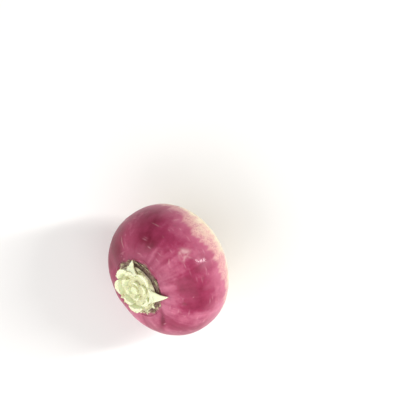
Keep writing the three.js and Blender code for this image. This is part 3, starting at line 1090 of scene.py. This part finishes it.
def freshSkin():
    # Fresh turnip skin: a thin waxy layer over wet flesh, so it glows a little and has a soft, broad shine.
    # Purple where light reached it, streaked along the root, and cream below, with cork round the crown
    finish, add = newFinish("freshTurnipSkin")
    colours = linear(skinFinish)
    where = add("TexCoord", give="Object")
    fromCrown, inside, depth, streak, dash, scuff, pit, cork, cutEnd = marksOf(
        add, "fromCrown inside depth streak dash scuff pit cork cutEnd")
    mottle = add("TexNoise", {"Vector": where, "Scale": 240, "Detail": 4, "Roughness": 0.6})  # about 4 mm
    speckle = add("TexNoise", {"Vector": where, "Scale": 1250, "Detail": 1, "Roughness": 0.4})  # about 0.8 mm
    pores = add("TexNoise", {"Vector": where, "Scale": 2600, "Detail": 2})  # 0.4 mm, coarser than life
    corkGrain = add("TexNoise", {"Vector": where, "Scale": 700, "Detail": 5, "Roughness": 0.65})  # 1.4 mm
    spots = add("TexVoronoi", {"Vector": where, "Scale": 1350})  # one spot to about 0.75 mm

    # Purple stops at its wandering edge, and breaks into soft specks on either side of it
    purple = add("MapRange", {0: inside, 1: -3.5, 2: 4.5}, **eased)
    near = add("Math", {0: inside, 1: 3.0}, operation="ADD")
    near = add("Math", {0: near}, operation="ABSOLUTE")
    near = add("MapRange", {0: near, 1: 17, 2: 0}, **eased)
    spreading = near
    for pattern, weight in ((spots, -0.9), (mottle, 1.5), (speckle, 0.9)):
        spreading = add("Math", {0: pattern, 1: weight, 2: spreading}, **timesPlus)
    specks = add("MapRange", {0: spreading, 1: 1.3, 2: 2.15, 4: 0.62}, **eased)
    specks = add("Math", {0: specks, 1: near}, **times)
    purple = add("Math", {0: purple, 1: specks}, operation="MAXIMUM")

    # The purple pales towards its edge and dulls near the crown, the cream blushes near the edge and
    # browns towards the tail: each mark goes from none to its full share between two values
    # The depth holds painted light and shade as well: paler purple on one side of the root, darker on the
    # other
    mottledDepth = add("Math", {0: mottle, 1: 0.3, 2: depth}, **timesPlus)
    purpleSide = add("ValToRGB", {0: mottledDepth}, stops=(
        (0.42, colours["deep"]), (0.64, colours["middle"]), (0.86, colours["rose"])))
    creamSide = add("Mix", {0: mottle, 6: colours["creamShade"], 7: colours["cream"]}, **blended)
    for mark, none, full, most, name in (
            (inside, 20, 0, 0.5, "rose"), (fromCrown, 56, 34, 0.3, "dullShoulder")):
        share = add("MapRange", {0: mark, 1: none, 2: full, 4: most}, **eased)
        purpleSide = add("Mix", {0: share, 6: purpleSide, 7: colours[name]}, **blended)
    for mark, none, full, most, name in (
            (inside, -17, -1, 0.75, "blush"), (fromCrown, 138, 172, 0.8, "tail")):
        share = add("MapRange", {0: mark, 1: none, 2: full, 4: most}, **eased)
        creamSide = add("Mix", {0: share, 6: creamSide, 7: colours[name]}, **blended)
    colour = add("Mix", {0: purple, 6: creamSide, 7: purpleSide}, **blended)

    # Marks on both sides, each with its share of a colour for the cream and one for the purple
    for mark, most, onCream, onPurple in (
            (dash, 0.55, "dashOnCream", "dashOnPurple"), (scuff, 0.85, "dashOnCream", "graze"),
            (pit, 0.3, "pit", "pit")):
        share = add("Math", {0: mark, 1: most}, **times)
        own = add("Mix", {0: purple, 6: colours[onCream], 7: colours[onPurple]}, **blended)
        colour = add("Mix", {0: share, 6: colour, 7: own}, **blended)
    corkColour = add("ValToRGB", {0: corkGrain}, stops=(
        (0.34, colours["corkDark"]), (0.5, colours["corkMiddle"]), (0.66, colours["cork"])))
    corkShare = add("Math", {0: cork, 1: 0.92}, **times)
    colour = add("Mix", {0: corkShare, 6: colour, 7: corkColour}, **blended)
    colour = add("Mix", {0: cutEnd, 6: colour, 7: colours["flesh"]}, **blended)

    # Smoother on the wax, rougher on cork and dashes, with a relief too fine for the mesh
    rough = 0.32
    for mark, weight in ((mottle, 0.16), (cork, 0.4), (dash, 0.15)):
        rough = add("Math", {0: mark, 1: weight, 2: rough}, **timesPlus)
    corkHeight = add("Math", {0: corkGrain, 1: cork}, **times)
    height = add("Math", {0: pores, 1: 0.5}, **times)
    for pattern, weight in ((speckle, 0.4), (streak, 0.3), (corkHeight, 5.0)):
        height = add("Math", {0: pattern, 1: weight, 2: height}, **timesPlus)
    bump = add("Bump", {"Height": height, "Strength": 0.55, "Distance": 0.11 * mm})
    surface = add("BsdfPrincipled", {
        "Base Color": colour, "Roughness": rough, "Normal": bump, "IOR": 1.42, "Subsurface Weight": 0.14,
        "Subsurface Radius": (1.0, 0.42, 0.36), "Subsurface Scale": 2.2 * mm, "Specular IOR Level": 0.26,
        "Coat Weight": 0.13, "Coat Roughness": 0.1})
    add("OutputMaterial", {"Surface": surface})
    return finish


stalkFinish = {
    "flesh": "#f0f1d2",
    "fleshGreen": "#dfe6ba",
    "strand": "#afba7c",
    "browned": "#b89f78",
    "side": "#d9e2b2",
    "sidePale": "#eef0d2",
    "sidePink": "#c09098",
    # colours of the stalks' feet and of the plate between them: partly aged tissue, partly painted shade
    "old": "#dcdcb2",
    "agedAndShadedDark": "#b3a478",
}


def cutStalk():
    # Cut leaf stalk: wet pale flesh with the ends of its strands showing, a greener outside, and edges that
    # have dried brown since it was trimmed
    finish, add = newFinish("cutLeafStalk")
    colours = linear(stalkFinish)
    where = add("TexCoord", give="Object")
    face, rim, strand, pink, old, tone = marksOf(add, "cutFace rim strand pink old tone")
    cells = add("TexNoise", {"Vector": where, "Scale": 1500, "Detail": 4, "Roughness": 0.6})  # about 0.7 mm
    blotch = add("TexNoise", {"Vector": where, "Scale": 420, "Detail": 3})  # about 2.4 mm

    greener = add("Math", {0: tone, 1: 0.15, 2: -0.1}, **timesPlus)
    greener = add("Math", {0: blotch, 1: 0.9, 2: greener}, **timesPlus)
    strandShare = add("Math", {0: strand, 1: 0.75}, **times)
    flesh = add("Mix", {0: greener, 6: colours["flesh"], 7: colours["fleshGreen"]}, **blended)
    flesh = add("Mix", {0: strandShare, 6: flesh, 7: colours["strand"]}, **blended)
    # The aged colour is partly aged tissue and partly painted shade at the stalks' feet and on the plate
    # between them
    agedAndShadedColour = add("Mix", {0: cells, 6: colours["agedAndShadedDark"], 7: colours["old"]}, **blended)
    side = add("Mix", {0: blotch, 6: colours["side"], 7: colours["sidePale"]}, **blended)
    side = add("Mix", {0: pink, 6: side, 7: colours["sidePink"]}, **blended)
    side = add("Mix", {0: old, 6: side, 7: agedAndShadedColour}, **blended)
    colour = add("Mix", {0: face, 6: side, 7: flesh}, **blended)

    # Cells raise the surface, more so where the aged mark is high, and the highest of them have dried brown
    # at the rims
    height = add("Math", {0: blotch, 1: 0.6, 2: cells}, **timesPlus)
    crusted = add("Math", {0: old, 1: cells}, **times)
    relief = add("Math", {0: crusted, 1: 2.5, 2: height}, **timesPlus)
    dried = add("MapRange", {0: height, 1: 0.66, 2: 1.0}, **eased)
    dried = add("Math", {0: dried, 1: rim}, **times)
    colour = add("Mix", {0: dried, 6: colour, 7: colours["browned"]}, **blended)
    rough = add("Math", {0: cells, 1: 0.3, 2: 0.36}, **timesPlus)
    bump = add("Bump", {"Height": relief, "Strength": 0.7, "Distance": 0.14 * mm})
    surface = add("BsdfPrincipled", {
        "Base Color": colour, "Roughness": rough, "Normal": bump, "IOR": 1.4, "Subsurface Weight": 0.25,
        "Subsurface Radius": (1.0, 0.9, 0.5), "Subsurface Scale": 1.6 * mm})
    add("OutputMaterial", {"Surface": surface})
    return finish


scaleFinish = {
    "shaded": "#54403a",
    "brown": "#8b7360",
    "tan": "#c0b18c",
    "sheath": "#dfe0ba",
}


def dryScale():
    # Dead leaf base: papery, matt and torn, light tan where it is thin at the tip, and paler still on the
    # sheaths, which are less dry
    finish, add = newFinish("dryLeafBase")
    colours = linear(scaleFinish)
    where = add("TexCoord", give="Object")
    share, tone = marksOf(add, "share tone")
    fibres = add("TexNoise", {"Vector": where, "Scale": 1300, "Detail": 5, "Roughness": 0.65})  # about 0.8 mm
    paler = 0.14
    for mark, weight in ((tone, 0.16), (fibres, 0.8), (share, 0.2)):
        paler = add("Math", {0: mark, 1: weight, 2: paler}, **timesPlus)
    colour = add("ValToRGB", {0: paler}, stops=tuple(zip((0.2, 0.5, 0.72, 0.95), colours.values())))
    bump = add("Bump", {"Height": fibres, "Strength": 0.8, "Distance": 0.12 * mm})
    surface = add("BsdfPrincipled", {"Base Color": colour, "Normal": bump, "Roughness": 0.85})
    add("OutputMaterial", {"Surface": surface})
    return finish


fibreFinish = {
    "base": "#b0926a",
    "middle": "#cfb58e",
    "brokenTip": "#eadcbc",
}


def rootFibre():
    # Fine root: a dull tan fibre, paler towards its broken tip
    finish, add = newFinish("fineRootFibre")
    colours = linear(fibreFinish)
    share, tone = marksOf(add, "share tone")
    paler = add("Math", {0: tone, 1: 0.25, 2: 0.3}, **timesPlus)
    paler = add("Math", {0: share, 1: 0.4, 2: paler}, **timesPlus)
    colour = add("ValToRGB", {0: paler}, stops=tuple(zip((0.1, 0.5, 0.9), colours.values())))
    surface = add("BsdfPrincipled", {"Base Color": colour, "Roughness": 0.75})
    add("OutputMaterial", {"Surface": surface})
    return finish


rootSkin.data.materials.append(freshSkin())
stalkMaterial = cutStalk()
for piece in (stalkStubs, crownPlate, splitFlaps):
    piece.data.materials.append(stalkMaterial)
dryScales.data.materials.append(dryScale())
fineRoots.data.materials.append(rootFibre())
print("finishes made")


# Floor, light and camera

studio = {  # in metres
    "floorSize": 4.0,
    "floorColour": "#f1efec",
    "worldColour": "#f4f5f7",
    "worldStrength": 0.42,
    "lamps": (  # place, aimed at the turnip, size across and down, and watts
        {"place": (0.1, -0.8, 0.85), "size": (1.2, 0.8), "power": 5.2},
        {"place": (-0.75, -0.4, 0.6), "size": (1.3, 1.1), "power": 9.0},
        {"place": (0.86, 0.19, 0.56), "size": (0.085, 0.54), "power": 7.2},
    ),
}

view = {
    "height": 1.03,  # above the turnip's middle, in metres
    "middle": 0.0296,
    "lens": 189.0,
    "sensor": 36.0,
    "nearest": 0.05,
    "pixels": 400,
    "outlineCentre": (-0.000425, -0.000402),  # middle of the turnip's outline, and where the photo has it
    "outlinePixel": (168.4, 269.8),
}


def addFloor():
    half = studio["floorSize"] / 2
    corners = [(-half, -half, 0), (half, -half, 0), (half, half, 0), (-half, half, 0)]
    mesh = bpy.data.meshes.new("floor")
    mesh.from_pydata(corners, [], [(0, 1, 2, 3)])
    floor = bpy.data.objects.new("floor", mesh)
    bpy.context.collection.objects.link(floor)
    finish, add = newFinish("paintedTable")
    surface = add("BsdfPrincipled", {"Base Color": fromHex(studio["floorColour"]), "Roughness": 0.7})
    add("OutputMaterial", {"Surface": surface})
    mesh.materials.append(finish)


def addLamp(number, place, size, power):
    lamp = bpy.data.lights.new(f"softbox{number}", "AREA")
    lamp.shape = "RECTANGLE"
    lamp.size, lamp.size_y = size
    lamp.energy = power
    holder = bpy.data.objects.new(f"softbox{number}", lamp)
    bpy.context.collection.objects.link(holder)
    holder.location = place
    aim = np.array([0, 0, view["middle"]]) - place
    away, level = math.atan2(aim[1], aim[0]), math.hypot(aim[0], aim[1])
    holder.rotation_euler = (math.atan2(level, -aim[2]), 0, away - math.pi / 2)


def addCamera():
    # Looks straight down, from the place that puts the outline's middle where the photo has it
    camera = bpy.data.cameras.new("camera")
    camera.lens = view["lens"]
    camera.sensor_width = view["sensor"]
    camera.clip_start = view["nearest"]
    holder = bpy.data.objects.new("camera", camera)
    bpy.context.collection.objects.link(holder)
    perPixel = view["height"] * view["sensor"] / view["lens"] / view["pixels"]
    acrossFrame = (view["pixels"] / 2 - view["outlinePixel"][0]) * perPixel
    upFrame = (view["outlinePixel"][1] - view["pixels"] / 2) * perPixel
    holder.location = (view["outlineCentre"][0] + acrossFrame, view["outlineCentre"][1] + upFrame,
                       view["middle"] + view["height"])
    bpy.context.scene.camera = holder


world = bpy.data.worlds.new("studio")
world.use_nodes = True
world.node_tree.nodes["Background"].inputs[0].default_value = fromHex(studio["worldColour"])
world.node_tree.nodes["Background"].inputs[1].default_value = studio["worldStrength"]
bpy.context.scene.world = world
bpy.context.scene.view_settings.view_transform = "Standard"
addFloor()
for number, lamp in enumerate(studio["lamps"]):
    addLamp(number, lamp["place"], lamp["size"], lamp["power"])
addCamera()
print("studio set")
